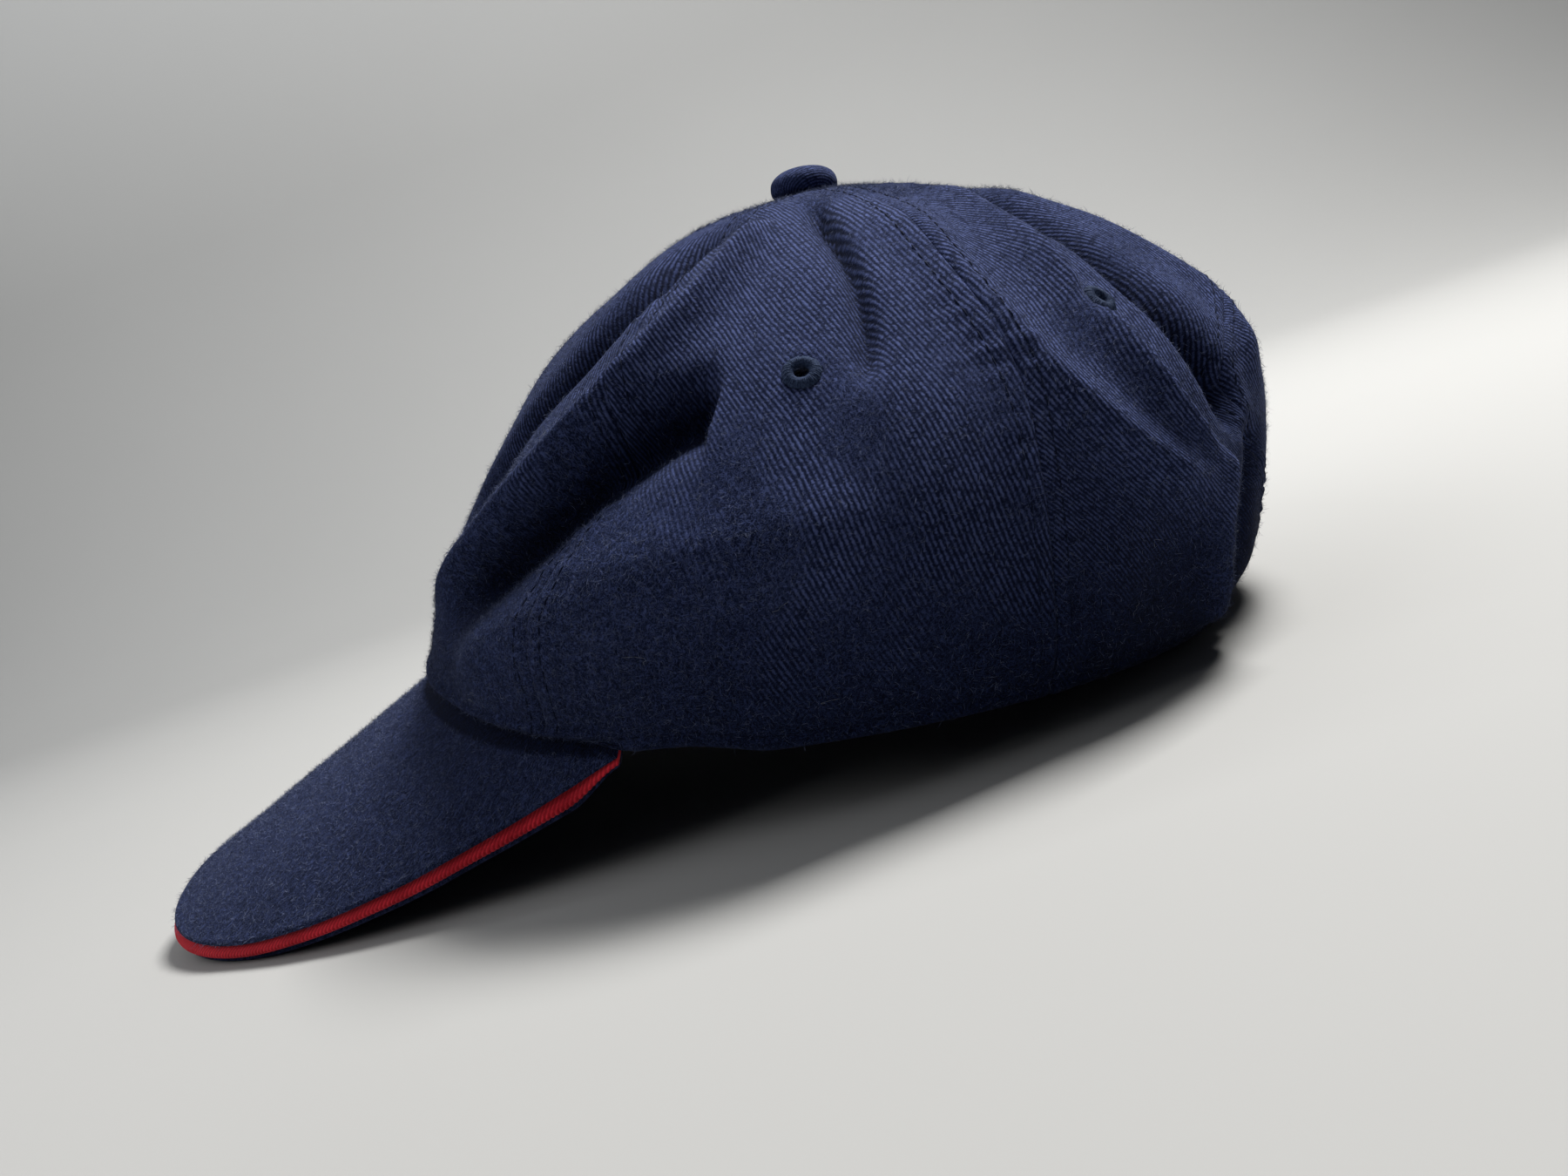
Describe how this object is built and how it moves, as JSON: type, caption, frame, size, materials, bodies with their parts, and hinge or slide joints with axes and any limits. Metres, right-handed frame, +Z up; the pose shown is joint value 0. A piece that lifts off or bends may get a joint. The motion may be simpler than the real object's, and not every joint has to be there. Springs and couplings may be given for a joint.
{
  "type": "six-panel baseball cap",
  "caption": "Soft unstructured six-panel cap of navy twill with a curved peak, a red edge on the peak, a cloth-covered top button and stitched eyelets.",
  "frame": {"origin": "on the floor, below the middle of the cap's bounding box", "axes": "-Y to the front, where the peak points; +X to the wearer's left; +Z up"},
  "size_m": [0.1922, 0.2908, 0.1282],
  "materials": {
    "navy_twill": "matt brushed cotton twill",
    "navy_thread": "matt embroidery thread",
    "red_tape": "matt ribbed tape"
  },
  "bodies": {
    "root": {"panel_front_left": "navy_twill", "panel_side_left": "navy_twill", "panel_rear_left": "navy_twill", "panel_front_right": "navy_twill", "panel_side_right": "navy_twill", "panel_rear_right": "navy_twill", "eyelet_side_left": "navy_thread", "eyelet_rear_left": "navy_thread", "eyelet_side_right": "navy_thread", "eyelet_rear_right": "navy_thread", "top_button": "navy_twill", "peak_top": "navy_twill", "peak_trim": "red_tape", "peak_under": "navy_twill"}
  },
  "joints": []
}
